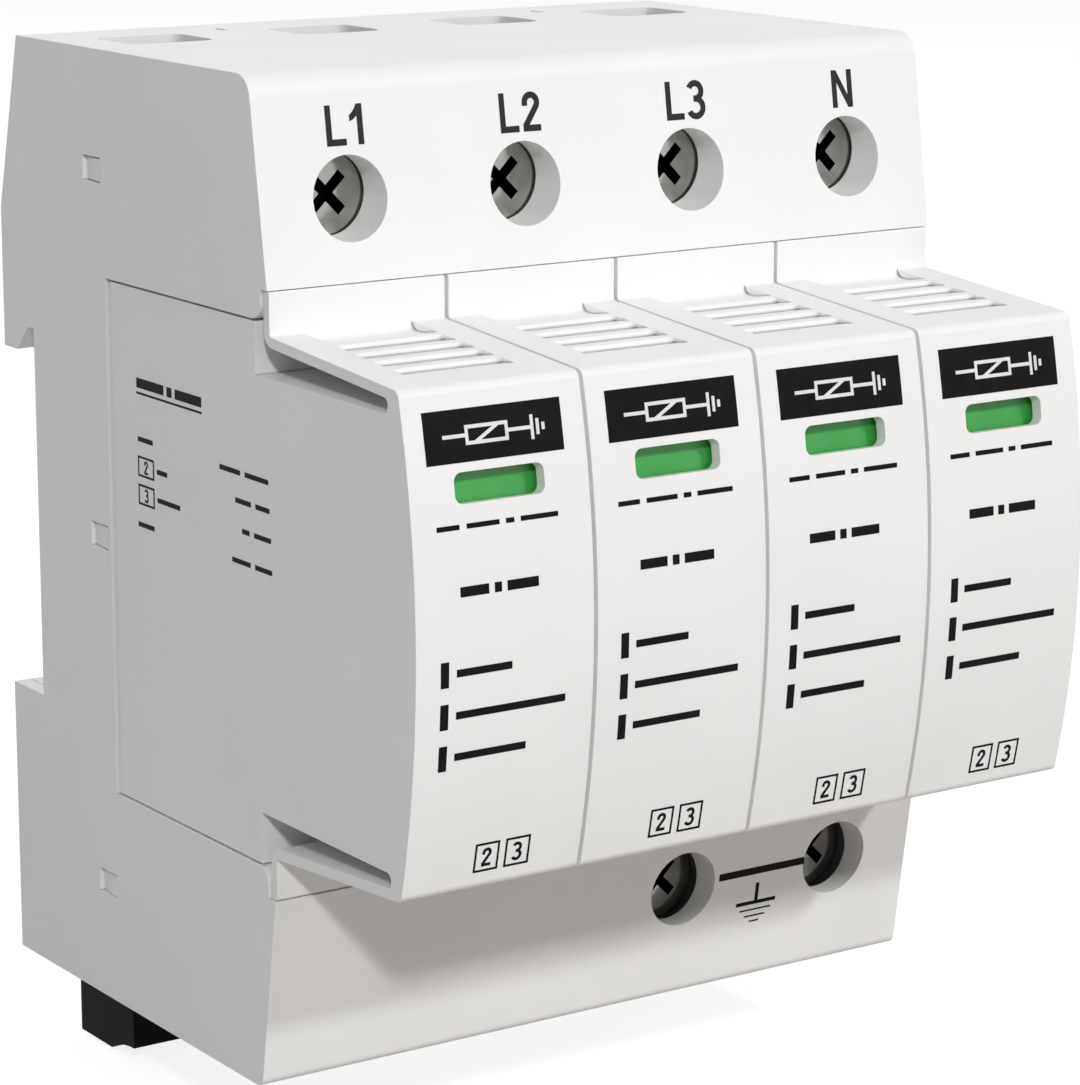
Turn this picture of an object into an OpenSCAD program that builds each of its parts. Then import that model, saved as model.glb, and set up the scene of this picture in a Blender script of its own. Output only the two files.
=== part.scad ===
// Plug-in surge arrester for a 35 mm DIN rail: a base with four poles and four plug-in modules.
// The origin is the middle of the rail seat. X runs along the rail, the front faces -Y and Z is up.
// Side profiles are drawn as [d, z], where d is the distance in front of the rail seat.

/* [Base] */
// Width of one pole along the rail
pole_w = 18; // [17.6:0.1:20]
// Height of the base
base_h = 90; // [89:0.5:96]
// Distance from the rail seat to the front of the shoulders
shoulder_d = 44; // [43:0.5:48]
// How far a shoulder's front leans back towards its outer edge
shoulder_lean = 2.75; // [1.5:0.25:4]
// Wall thickness of the base
base_wall = 1.6; // [1.2:0.1:1.8]
// Thickness of the partitions between poles
partition_t = 1.4; // [1:0.1:1.8]
// Rounding of the top front edge
top_edge_r = 2.2; // [1:0.1:3]
// Rounding of the bottom front edge
bottom_edge_r = 1; // [0.5:0.1:1.5]

/* [Module bay] */
// Distance from the rail seat to the back wall of the bay
bay_d = 14.7; // [14.4:0.1:16]
// Height of the bay
bay_h = 48.7; // [48:0.1:50]
// Rounding of the two lips where the bay opens
lip_r = 1.5; // [0.8:0.1:1.6]
// Gap between a module and the walls of the bay
bay_play = 0.25; // [0.15:0.05:0.4]
// Gap between the back of a module and the back wall of the bay
bay_back_play = 0.54; // [0.3:0.02:0.8]

/* [Rail] */
// Height of the rail across its two lips
rail_h = 35; // [34.8:0.1:35.4]
// Thickness of the rail's lips
rail_t = 1; // [0.8:0.1:1.5]
// Room between the rail's upper lip and the hook's root
hook_play = 0.15; // [0.1:0.05:0.4]
// How far the hook reaches down behind the upper lip
hook_reach = 2.45; // [1.5:0.05:3]
// Room between the rail's lower lip and the ledge under it
ledge_play = 0.5; // [0.3:0.1:1]
// How far the base reaches behind the rail seat
back_d = 6.2; // [5.8:0.1:7.5]
// How far the base's top edge reaches behind the rail seat
back_top_d = 2; // [1.5:0.1:3]
// Height of the bend in the base's sloping back
back_bend_z = 28.5; // [26:0.5:32]
// Thickness of the rear plate
plate_t = 2; // [1.6:0.1:2.2]

/* [Rail clips] */
// Width of a clip
clip_w = 8; // [7:0.5:9]
// Thickness of a clip's sliding plate
clip_t = 2.4; // [2:0.1:2.4]
// How far a clip's pull tab hangs below the base
tab_drop = 9; // [7:0.5:12]
// How far a clip's pull tab reaches in front of the rail seat
tab_d = 7.4; // [6:0.1:9]
// Gap between a clip and its runners
clip_play = 0.3; // [0.2:0.05:0.4]

/* [Terminals] */
// Height of the terminal screws above and below the middle of the rail
terminal_z = 34.1; // [33.5:0.1:35]
// Diameter of the screwdriver holes
screw_hole_d = 7.4; // [6.8:0.1:8]
// How far a screw's head reaches past the edge of its hole
screw_head_lap = 0.5; // [0.3:0.05:0.8]
// Thickness of the screws' heads
screw_head_t = 2.6; // [2:0.1:3]
// Diameter of the screws' shanks
screw_d = 5; // [4:0.5:5.5]
// Depth of a head's face below the front wall
screw_sink = 4.2; // [4:0.1:6]
// Width of the cross recess's arms
recess_arm = 1; // [0.8:0.1:1.2]
// Length of the cross recess across two arms
recess_len = 4.6; // [4:0.1:5]
// Width of the clamp cages
cage_w = 10.4; // [10:0.1:11]
// Height of the clamp cages along the wire
cage_h = 9; // [7:0.5:10]
// Wall thickness of the clamp cages
cage_t = 1.3; // [1.1:0.1:1.5]
// Room for the wire behind the contact strip
wire_room = 6.6; // [5:0.1:7]
// Width of the wire entries
entry_w = 8.9; // [8:0.1:9.4]
// Rounding of the wire entries' corners
entry_r = 1.4; // [0.5:0.1:2]
// Thickness of the outer wall round the wire entries
entry_wall = 1; // [0.5:0.05:1.2]

/* [Contacts] */
// Width of the contact strips
strip_w = 7; // [6:0.1:7.2]
// Thickness of the contact strips
strip_t = 1.5; // [1:0.1:1.6]
// Thickness of a module's contact blades
blade_t = 1.2; // [1:0.1:1.5]
// Height of a module's contact blades
blade_h = 6; // [5:0.5:7]
// Height of the blades' middle above and below the middle of the rail
blade_z = 16; // [15:0.5:16]
// Thickness of the jaws' leaves
leaf_t = 0.8; // [0.6:0.1:1]

/* [Modules] */
// Gap between two neighbouring modules
module_gap = 0.4; // [0.3:0.05:0.6]
// Distance from the rail seat to the crown of the modules' fronts
module_d = 67; // [66:0.5:72]
// Radius of the modules' arched fronts
front_r = 92; // [80:1:120]
// Height of a module's nose between its two grips
nose_h = 38.86; // [38:0.1:39.5]
// Setback of the nose's root behind the shoulders
nose_setback = 2.5; // [2:0.1:4]
// Wall thickness of a module
module_wall = 1.2; // [1:0.1:1.4]
// Thickness of a module's front wall
front_wall = 1.2; // [1:0.1:1.8]
// Width of the status window
window_w = 8.8; // [7:0.1:10]
// Height of the status window
window_h = 2.6; // [2:0.1:2.8]
// Height of the status window's middle above the middle of the rail
window_z = 13.3; // [12:0.1:13.6]
// Rounding of the status window's corners
window_r = 0.75; // [0.3:0.05:0.95]

/* [Grips] */
// Height of the grips' tails at their ends
tail_z = 27; // [26.6:0.1:27.6]
// Thickness of the grips
grip_t = 0.95; // [0.9:0.05:1.1]
// Height of a grip where it bends into its tail
grip_back_z = 23.1; // [22.9:0.05:23.3]
// How far a grip comes down for each millimetre towards the front
grip_slope = 0.075; // [0.06:0.005:0.08]
// Distance from the crown of the front to the end of the slot under a grip
slot_end = 4.1; // [3.6:0.1:5]
// Length of the finger grooves
groove_w = 10.8; // [8:0.1:12]
// Depth of the finger grooves
groove_depth = 0.54; // [0.3:0.02:0.6]
// Spacing of the finger grooves
groove_pitch = 2.97; // [2.6:0.01:3.1]
// Length of a groove's ramp
groove_ramp = 2.15; // [1.6:0.05:2.5]
// Rounding at the two ends of a groove's wall
groove_end_r = 0.5; // [0.2:0.05:0.8]

/* [Varistor] */
// Side of the varistor block
varistor_side = 34; // [28:1:34]
// Thickness of the varistor block
varistor_t = 6; // [4:0.5:6]

/* [Hidden] */
$fn = 64;
POLES = 4;
poles = [1 : POLES];
earth_poles = [3, 4];
grooves = 4;

// Clearance of flat faces that meet, and overrun of cuts
seat = 0.1;
over = 1;

// Base
base_w = POLES * pole_w;
half_h = base_h / 2;
half_bay = bay_h / 2;
inner_x = base_w / 2 - base_wall;
top_in = half_h - base_wall;
bay_back = bay_d - base_wall;
bay_out = half_bay + base_wall;
rebate_play = 0.2;
rebate_d = shoulder_d - grip_t - rebate_play;
hook_z = rail_h / 2 + hook_play;
ledge_z = -rail_h / 2 - ledge_play;
partition_back = plate_t + 3 * seat;

// Small notches in the top, beside the partitions after these poles
notch_poles = [1, 3];
notch_x = 0.9;
notch_w = 0.8;
notch_depth = 0.9;
notch_d = 1.7;
notch_len = 2.4;

// Snap windows in the side walls
snap_zs = [34.05, 0, -33.6];
snap_d = 10.84;
snap_len = 3.35;
snap_h = 2.35;
snap_arm_t = 1.2;
snap_arm_rim = 0.8;
snap_sink = 0.42;

// Contacts
strip_front = bay_back - seat;
strip_back = strip_front - strip_t;
strip_room = 2.8;
strip_top = top_in - strip_room;
jaw_room = 2;
jaw_back = plate_t + jaw_room;
mouth_setback = 0.4;
jaw_mouth = strip_front - mouth_setback;
shelf_play = 0.6;
shelf_z = blade_z + blade_h / 2 + shelf_play;
leaf_gap = blade_t + seat;
leaf_flare = 0.6;
leaf_flare_len = 1.6;
leaf_spare = 0.4;
leaf_z = blade_z - blade_h / 2 - leaf_spare;
tip_room = 1.5;
blade_tip = jaw_back + tip_room;
blade_slot_play = 0.5;

// Terminals
cage_back_in = strip_back - wire_room;
cage_front_room = 5.5;
cage_front_in = strip_front + cage_front_room;
cage_front_t = 2;
thread_play = 0.1;
screw_head_d = screw_hole_d + 2 * screw_head_lap;
screw_tip = strip_front + seat / 2;
guide_wall = 1.5;
line_guide = 3.9;
earth_guide = 2.9;
entry_lead = 0.7;
entry_front = strip_back + entry_lead;
entry_back = cage_back_in - 2 * seat;
entry_rim = 0.8;
recess_depth = 2;

// Rail clips
clip_xs = [-1.5 * pole_w, pole_w];
clip_lip_play = 0.2;
clip_front = -rail_t - clip_lip_play;
clip_back = clip_front - clip_t;
tooth_h = 2.6;
tooth_tip = 0.3;
tooth_slope_h = 2.1;
clip_top = ledge_z + tooth_h;
tab_play = 0.35;
tab_top = -half_h - tab_play;
hollow_start = 2.8;
hollow_h = 1.24;
hollow_r = (pow(tab_d - hollow_start, 2) + hollow_h * hollow_h) / (2 * hollow_h);
tab_slot_w = 5.2;
tab_slot_d = 1.8;
tab_slot_t = 1.6;
runner_t = 1.3;
runner_lip = 1;
detent_r = 0.8;
detent_out = 0.25;
clip_travel = 5;
detent_z = -top_in + clip_travel + detent_r + clip_play;
leg_w = 1.1;
leg_slit = 0.8;
leg_top_z = -27;
leg_foot = 1.4;

// Modules
module_w = pole_w - module_gap;
module_back_d = bay_d + bay_back_play;
half_module = half_bay - bay_play;
half_nose = nose_h / 2;
nose_d = shoulder_d - nose_setback;
front_centre = module_d - front_r;
inner_r = front_r - front_wall;
tail_top = tail_z - seat;
tail_in = shoulder_d - grip_t;
slot_d = module_d - slot_end;
slot_r = 0.6;
bend_in_r = 1.4;
bend_out_r = 0.3;
front_edge_r = 0.9;
tail_end_r = 0.2;
case_x = module_w / 2 - module_wall;
case_z = half_module - module_wall;
nose_in_z = half_nose - module_wall;
case_front = nose_d - module_wall;
cap_t = 2;
cap_in = module_back_d + cap_t;
cradle_len = 10;
cradle_t = 1.5;

// First finger groove: its wall stands this far in front of the tail
groove_start = 5;
// Scoop at the bend, which starts just clear of the tail
scoop_start = 0.02;
scoop_r = 0.9;
scoop_top = 1.9;

// Status flag, measured in front of the window and above its middle along the leaning front
window_tilt = asin(window_z / front_r);
flag_travel = 2.9;
flag_play = 0.3;
flag_w = 12;
flag_t = 1.2;
flag_rim = 0.35;
flag_spare = 0.75;
flag_top = window_h / 2 + flag_rim;
flag_bottom = flag_top - 2 * flag_travel - flag_spare;
flag_reach = max(-flag_bottom, flag_top + flag_travel);
flag_rib_t = 1;
flag_rib_lap = 0.8;
flag_front = sqrt(inner_r * inner_r - flag_reach * flag_reach) - front_r - flag_play;
flag_back = flag_front - flag_t;
flag_stem_w = 2.2;
flag_stem_h = 2.4;
flag_stem_x = -3.3;
flag_stem_rise = 1.6;

// Varistor and its thermal arm
varistor_x = blade_t / 2 + 2 * seat;
varistor_room = 1.8;
varistor_back = cap_in + varistor_room;
varistor_r = 3;
upper_blade_stub = 2.2;
lower_blade_lap = 9;
arm_t = 0.5;
arm_x = -blade_t / 2 - seat / 2;
arm_len = 22;
arm_h = 4;
arm_foot = 2;
arm_edge = 0.5;
arm_play = 1;

function pole_x(i) = (i - (POLES + 1) / 2) * pole_w;
function unit(v) = v / norm(v);
function turn(a, b, c) = (b[0] - a[0]) * (c[1] - b[1]) - (b[1] - a[1]) * (c[0] - b[0]);
function mirrored(pts) = [for (i = [len(pts) - 1 : -1 : 0]) [pts[i][0], -pts[i][1]]];
function reversed(list) = [for (i = [len(list) - 1 : -1 : 0]) list[i]];
// Front of a shoulder at height z
function front_d(z) = shoulder_d - shoulder_lean * (abs(z) - tail_z) / (half_h - tail_z);
// Upper face of a grip at distance d
function grip_z(d) = grip_back_z - grip_slope * (d - shoulder_d);
// Place in the side view of a point d in front of the window and z above its middle
function window_point(d, z) = [
    front_centre + (front_r + d) * cos(window_tilt) - z * sin(window_tilt),
    window_z + d * sin(window_tilt) + z * cos(window_tilt)
];
// Sloping back of the base at height z
function back_slope(z) = -back_top_d - (back_d - back_top_d) * (half_h - z) / (half_h - back_bend_z);
// Where a grip's upper face meets the arched front
function grip_end_d() = let (
    a = grip_slope,
    b = grip_back_z + grip_slope * shoulder_d,
    qa = 1 + a * a,
    qb = -2 * (front_centre + a * b),
    qc = front_centre * front_centre + b * b - front_r * front_r
) (-qb + sqrt(qb * qb - 4 * qa * qc)) / (2 * qa);

// Side profile drawn as [d, z], pulled along the rail from x0 to x1
module across(x0, x1) {
    translate([x1, 0, 0]) rotate([90, 0, -90]) linear_extrude(x1 - x0) children();
}

// Front view drawn as [x, z], pulled towards the front from d0 to d1
module forward(d0, d1) {
    translate([0, -d0, 0]) rotate([90, 0, 0]) linear_extrude(d1 - d0) children();
}

// Round bar from d0 to d1, towards the front
module bar(x, z, d0, d1, diameter) {
    translate([x, -d0, z]) rotate([90, 0, 0]) cylinder(d = diameter, h = d1 - d0);
}

// Block between two corners given as [x, d, z]
module block(low, high) {
    translate([low[0], -high[1], low[2]]) cube([high[0] - low[0], high[1] - low[1], high[2] - low[2]]);
}

// Frame of the status window of the module at x, which leans back with the arched front
module at_window(x) {
    middle = window_point(0, 0);
    translate([x, -middle[0], middle[1]]) rotate([-window_tilt, 0, 0]) children();
}

// What lies between a corner of an outline and the arc that rounds it
module corner_piece(before, corner, after, r) {
    u = unit(before - corner);
    v = unit(after - corner);
    half = acos(u * v) / 2;
    centre = corner + unit(u + v) * r / sin(half);
    foot_u = corner + u * r / tan(half);
    foot_v = corner + v * r / tan(half);
    spill = 0.1;
    difference() {
        polygon([
            corner - unit(u + v) * spill,
            foot_u + unit(foot_u - centre) * spill,
            centre,
            foot_v + unit(foot_v - centre) * spill
        ]);
        translate(centre) circle(r);
    }
}

// Outline given anticlockwise, with each corner rounded by its own radius
module soft_polygon(pts, radii) {
    n = len(pts);
    difference() {
        union() {
            polygon(pts);
            for (i = [0 : n - 1])
                if (radii[i] > 0 && turn(pts[(i + n - 1) % n], pts[i], pts[(i + 1) % n]) < 0)
                    corner_piece(pts[(i + n - 1) % n], pts[i], pts[(i + 1) % n], radii[i]);
        }
        for (i = [0 : n - 1])
            if (radii[i] > 0 && turn(pts[(i + n - 1) % n], pts[i], pts[(i + 1) % n]) > 0)
                corner_piece(pts[(i + n - 1) % n], pts[i], pts[(i + 1) % n], radii[i]);
    }
}

// Upright rectangle round a middle, with rounded corners
module soft_rectangle(middle, size, r) {
    x = size[0] / 2;
    y = size[1] / 2;
    translate(middle) soft_polygon([[-x, -y], [x, -y], [x, y], [-x, y]], [r, r, r, r]);
}

// Side profile of the base: two shoulders round the bay, with the hook and the ledge for the rail
module base_outline() {
    soft_polygon([
        [-back_d, -half_h],
        [front_d(half_h), -half_h],
        [shoulder_d, -tail_z],
        [rebate_d, -tail_z],
        [rebate_d, -half_bay],
        [bay_d, -half_bay],
        [bay_d, half_bay],
        [rebate_d, half_bay],
        [rebate_d, tail_z],
        [shoulder_d, tail_z],
        [front_d(half_h), half_h],
        [-back_top_d, half_h],
        [-back_d, back_bend_z],
        [-back_d, hook_z - hook_reach],
        [-rail_t - seat - hook_reach, hook_z - hook_reach],
        [-rail_t - seat, hook_z],
        [0, hook_z],
        [0, ledge_z],
        [-back_d, ledge_z]
    ], [0, bottom_edge_r, 0, 0, lip_r, 0, 0, lip_r, 0, 0, top_edge_r, 0, 0, 0, 0, 0, 0, 0, 0]);
}

// Side profile of the room inside one pole, from the upper terminal round the bay to the lower one
module chamber_outline() {
    upper = [
        [bay_back, bay_out],
        [rebate_d - base_wall, bay_out],
        [rebate_d - base_wall, tail_z + base_wall],
        [front_d(tail_z + base_wall) - base_wall, tail_z + base_wall],
        [front_d(top_in) - base_wall, top_in],
        [partition_back - over, top_in]
    ];
    polygon(concat(upper, mirrored(upper)));
}

// Side profile of the rear opening that the rear plate closes
module rear_opening() {
    translate([-back_d - over, -top_in]) square([back_d + over + partition_back, 2 * top_in]);
}

// Wire entry: a rounded hole through the outer wall, which is thinned round it from inside
module wire_entry(x, side) {
    entry_len = entry_front - entry_back;
    mirror([0, 0, side > 0 ? 0 : 1]) {
        translate([x, -entry_back - entry_len / 2, top_in - over]) linear_extrude(base_wall + 2 * over)
            soft_rectangle([0, 0], [entry_w, entry_len], entry_r);
        block(
            [x - entry_w / 2 - entry_rim, entry_back - entry_rim, top_in - over],
            [x + entry_w / 2 + entry_rim, entry_front + entry_rim, half_h - entry_wall]
        );
    }
}

// Collar round a screwdriver hole, inside the front wall
module screw_guide(x, z, len) {
    face = front_d(z);
    bar(x, z, face - len, face - base_wall / 2, screw_hole_d + 2 * guide_wall);
}

// Slots for a module's two blades in the back wall of the bay
module blade_slots(x) {
    half_w = blade_t / 2 + 4 * seat;
    half_z = blade_h / 2 + blade_slot_play;
    for (z = [-blade_z, blade_z])
        block([x - half_w, bay_back - over, z - half_z], [x + half_w, bay_d + over, z + half_z]);
}

module base_housing() {
    hole_back = front_d(terminal_z) - over;
    hole_front = shoulder_d + over;
    color("whitesmoke") difference() {
        union() {
            difference() {
                across(-base_w / 2, base_w / 2) base_outline();
                for (i = poles)
                    across(
                        pole_x(i) - pole_w / 2 + (i == 1 ? base_wall : partition_t / 2),
                        pole_x(i) + pole_w / 2 - (i == POLES ? base_wall : partition_t / 2)
                    ) chamber_outline();
                across(-inner_x, inner_x) rear_opening();
            }
            for (i = poles) screw_guide(pole_x(i), terminal_z, line_guide);
            for (i = earth_poles) screw_guide(pole_x(i), -terminal_z, earth_guide);
        }
        for (i = poles) {
            bar(pole_x(i), terminal_z, hole_back - line_guide, hole_front, screw_hole_d);
            wire_entry(pole_x(i), 1);
            blade_slots(pole_x(i));
        }
        for (i = earth_poles) {
            bar(pole_x(i), -terminal_z, hole_back - earth_guide, hole_front, screw_hole_d);
            wire_entry(pole_x(i), -1);
        }
        // Notches in the partitions for the earth bar
        block(
            [pole_x(1), partition_back - over, -shelf_z - strip_t - 2 * seat],
            [pole_x(POLES), bay_back, -shelf_z + 2 * seat]
        );
        // Notches in the top
        for (i = notch_poles)
            block(
                [pole_x(i) + pole_w / 2 + notch_x - notch_w / 2, notch_d, half_h - notch_depth],
                [pole_x(i) + pole_w / 2 + notch_x + notch_w / 2, notch_d + notch_len, half_h + over]
            );
        // Snap windows in both side walls
        for (z = snap_zs)
            block(
                [-base_w / 2 - over, snap_d, z - snap_h / 2],
                [-inner_x, snap_d + snap_len, z + snap_h / 2]
            );
        for (z = snap_zs)
            block(
                [inner_x, snap_d, z - snap_h / 2],
                [base_w / 2 + over, snap_d + snap_len, z + snap_h / 2]
            );
        // Ways for the rail clips through the bottom wall
        for (x = clip_xs)
            block(
                [x - clip_w / 2 - clip_play, clip_back - clip_play, -half_h - over],
                [x + clip_w / 2 + clip_play, clip_front + clip_play, -top_in + over]
            );
    }
}

// Side profile of the rear plate: one bent wall that follows the back of the base
module plate_outline() {
    top = top_in - seat;
    polygon([
        [-back_d, -top],
        [-back_d + plate_t, -top],
        [-back_d + plate_t, ledge_z - plate_t],
        [plate_t, ledge_z - plate_t],
        [plate_t, hook_z + plate_t],
        [-back_d + plate_t, hook_z + plate_t],
        [-back_d + plate_t, back_bend_z],
        [back_slope(top) + plate_t, top],
        [back_slope(top), top],
        [-back_d, back_bend_z],
        [-back_d, hook_z - hook_reach],
        [-rail_t - seat - hook_reach, hook_z - hook_reach],
        [-rail_t - seat, hook_z],
        [0, hook_z],
        [0, ledge_z],
        [-back_d, ledge_z]
    ]);
}

// Arm of the rear plate that snaps into a window of the right side wall
module snap_arm(z) {
    root = z > back_bend_z ? back_slope(z) + plate_t / 2 : z < ledge_z ? plate_t / 2 - back_d : plate_t / 2;
    outer = inner_x - seat;
    half_arm = snap_h / 2 + snap_arm_rim;
    hook_back = snap_d + 1.5 * seat;
    hook_front = snap_d + snap_len - 1.5 * seat;
    arm_front = bay_back - 2 * seat;
    block([outer - snap_arm_t, root, z - half_arm], [outer, arm_front, z + half_arm]);
    translate([0, 0, z - snap_h / 2 + 1.5 * seat]) linear_extrude(snap_h - 3 * seat) polygon([
        [outer - snap_arm_t / 2, -hook_back],
        [base_w / 2 - snap_sink, -hook_back],
        [base_w / 2, -hook_front],
        [outer + seat, -hook_front],
        [outer + seat, -arm_front],
        [outer - snap_arm_t / 2, -arm_front]
    ]);
}

// Two runners that hold a rail clip against the rear plate, with room for its detents
module clip_runners(x) {
    inner = clip_w / 2 + clip_play;
    low = -top_in + seat;
    high = ledge_z - plate_t / 2;
    lip = clip_front + clip_play;
    for (s = [-1, 1]) difference() {
        translate([x, 0, 0]) mirror([s > 0 ? 0 : 1, 0, 0]) union() {
            block([inner, -back_d + plate_t / 2, low], [inner + runner_t, lip + runner_lip, high]);
            block([inner - runner_lip, lip, low], [inner + runner_t, lip + runner_lip, high]);
        }
        translate([x + s * inner, 0, 0]) block(
            [-detent_out - clip_play, clip_back - clip_play, detent_z - detent_r - clip_travel - clip_play],
            [detent_out + clip_play, clip_front + clip_play, detent_z + detent_r + clip_play]
        );
    }
}

module rear_plate() {
    color("gainsboro") difference() {
        union() {
            across(-inner_x + seat, inner_x - seat) plate_outline();
            for (z = snap_zs) {
                snap_arm(z);
                mirror([1, 0, 0]) snap_arm(z);
            }
            for (x = clip_xs) clip_runners(x);
        }
        // Ways for the clips' teeth through the ledge
        for (x = clip_xs)
            block(
                [x - clip_w / 2 - clip_play, clip_back - clip_play, ledge_z - plate_t - over],
                [x + clip_w / 2 + clip_play, clip_front + clip_play, ledge_z + over]
            );
    }
}

// Rail clip: a sliding plate with a tooth behind the rail's lower lip, spring legs and a pull tab
module rail_clip(i) {
    x = clip_xs[i - 1];
    tab_z = -half_h - tab_drop;
    foot_z = detent_z - detent_r - leg_foot;
    slit_x = clip_w / 2 - leg_w - leg_slit / 2;
    slit_in = slit_x - leg_slit / 2;
    color("#1a1a1a") difference() {
        union() {
            across(x - clip_w / 2, x + clip_w / 2) polygon([
                [clip_back, tab_z],
                [tab_d, tab_z],
                [tab_d, tab_top],
                [clip_front, tab_top],
                [clip_front, clip_top],
                [clip_front - tooth_tip, clip_top],
                [clip_back, clip_top - tooth_slope_h]
            ]);
            for (s = [-1, 1])
                bar(
                    x + s * (clip_w / 2 + detent_out - detent_r), detent_z,
                    clip_back, clip_front, 2 * detent_r
                );
        }
        // Slits that free the two spring legs, open at the legs' feet
        for (s = [-1, 1]) {
            block(
                [x + s * slit_x - leg_slit / 2, clip_back - over, foot_z - leg_slit],
                [x + s * slit_x + leg_slit / 2, clip_front + over, leg_top_z]
            );
            block(
                [x + s * (clip_w / 2 + slit_in) / 2 - (clip_w / 2 - slit_in) / 2 - (s < 0 ? over : 0),
                 clip_back - over, foot_z - leg_slit],
                [x + s * (clip_w / 2 + slit_in) / 2 + (clip_w / 2 - slit_in) / 2 + (s > 0 ? over : 0),
                 clip_front + over, foot_z]
            );
        }
        // Thumb hollow under the pull tab, level at its front edge
        across(x - clip_w, x + clip_w) translate([tab_d, tab_z + hollow_h - hollow_r]) circle(hollow_r);
        // Slot for a screwdriver's tip in the pull tab
        block(
            [x - tab_slot_w / 2, tab_d - tab_slot_d - tab_slot_t, tab_z - over],
            [x + tab_slot_w / 2, tab_d - tab_slot_d, tab_top + over]
        );
    }
}

// Two leaves that grip a blade from both sides, standing from z0 to z1
module jaw(x, z0, z1) {
    gap = leaf_gap / 2;
    flare_d = jaw_mouth - leaf_flare_len;
    for (s = [-1, 1]) translate([x, 0, z0]) mirror([s > 0 ? 0 : 1, 0, 0]) linear_extrude(z1 - z0) polygon([
        [gap, -jaw_back],
        [gap, -flare_d],
        [gap + leaf_flare, -jaw_mouth],
        [gap + leaf_flare + leaf_t, -jaw_mouth],
        [gap + leaf_t, -flare_d],
        [gap + leaf_t, -jaw_back]
    ]);
}

// Upright contact strip of a terminal, from the jaw's shelf out to the clamp
module contact_strip(x) {
    block([x - strip_w / 2, strip_back, shelf_z], [x + strip_w / 2, strip_front, strip_top]);
}

// Line contact: a folded strip with a shelf and two leaves that hang from it
module line_contact(i) {
    x = pole_x(i);
    color("peru") {
        contact_strip(x);
        block([x - strip_w / 2, jaw_back, shelf_z], [x + strip_w / 2, strip_front, shelf_z + strip_t]);
        jaw(x, leaf_z, shelf_z + strip_t / 2);
    }
}

// Earth bar: one shelf behind all the poles, with a jaw at each and strips to the earth terminals
module earth_bar() {
    color("peru") mirror([0, 0, 1]) {
        block(
            [pole_x(1) - strip_w / 2, jaw_back, shelf_z],
            [pole_x(POLES) + strip_w / 2, strip_front, shelf_z + strip_t]
        );
        for (i = poles) jaw(pole_x(i), leaf_z, shelf_z + strip_t / 2);
        for (i = earth_poles) contact_strip(pole_x(i));
    }
}

// Terminal screw: a cheese head with a cross recess, and a shank that bears on the contact strip
module terminal_screw(x, z) {
    face = front_d(terminal_z) - screw_sink;
    chamfer = 0.4;
    tip_len = 1;
    color("dimgray") difference() {
        union() {
            bar(x, z, face - screw_head_t, face - chamfer, screw_head_d);
            translate([x, -face + chamfer, z]) rotate([90, 0, 0])
                cylinder(d1 = screw_head_d, d2 = screw_head_d - 2 * chamfer, h = chamfer);
            bar(x, z, screw_tip + tip_len, face - screw_head_t + seat, screw_d);
            translate([x, -screw_tip, z]) rotate([90, 0, 0])
                cylinder(d1 = screw_d - 2 * tip_len, d2 = screw_d, h = tip_len);
        }
        for (a = [45, -45])
            translate([x, -face + recess_depth / 2 - over / 2, z]) rotate([0, a, 0])
                cube([recess_len, recess_depth + over, recess_arm], center = true);
    }
}

// Clamp cage: a ring round the contact strip that the screw draws towards the front
module clamp_cage(x, z) {
    low = z - cage_h / 2;
    high = z + cage_h / 2;
    front = cage_front_in + cage_front_t;
    color("lightsteelblue") difference() {
        block([x - cage_w / 2, cage_back_in - cage_t, low], [x + cage_w / 2, front, high]);
        block(
            [x - cage_w / 2 + cage_t, cage_back_in, low - over],
            [x + cage_w / 2 - cage_t, cage_front_in, high + over]
        );
        bar(x, z, cage_front_in - over, front + over, screw_d + 2 * thread_play);
    }
}

// Side profile of a module: its body, its arched nose and the two sprung grips with their tails
module module_outline() {
    corner_d = grip_end_d();
    corner_z = grip_z(corner_d);
    apex_d = front_centre + front_r * front_r / (corner_d - front_centre);
    upper = [
        [corner_d, corner_z],
        [shoulder_d, grip_back_z],
        [shoulder_d, tail_top],
        [tail_in, tail_top],
        [tail_in, grip_z(tail_in) - grip_t],
        [slot_d, grip_z(slot_d) - grip_t],
        [slot_d, half_nose],
        [nose_d, half_nose],
        [nose_d, half_module],
        [module_back_d, half_module]
    ];
    radii = [front_edge_r, bend_out_r, tail_end_r, 0, bend_in_r, slot_r, slot_r, 0, 0, 0];
    intersection() {
        soft_polygon(
            concat(mirrored(upper), [[apex_d, 0]], upper),
            concat(reversed(radii), [0], radii)
        );
        translate([front_centre, 0]) circle(front_r, $fn = 256);
    }
}

// Side profile of the scoop at a grip's bend, which runs out towards the front
module scoop_outline() {
    foot = shoulder_d + groove_start - groove_pitch;
    high = grip_back_z + scoop_top;
    soft_polygon([
        [shoulder_d + scoop_start, grip_z(foot) - groove_depth],
        [foot, grip_z(foot) - groove_depth],
        [foot + groove_ramp, grip_z(foot + groove_ramp)],
        [foot + groove_ramp, high],
        [shoulder_d + scoop_start, high]
    ], [scoop_r, 0, 0, 0, 0]);
}

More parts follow.
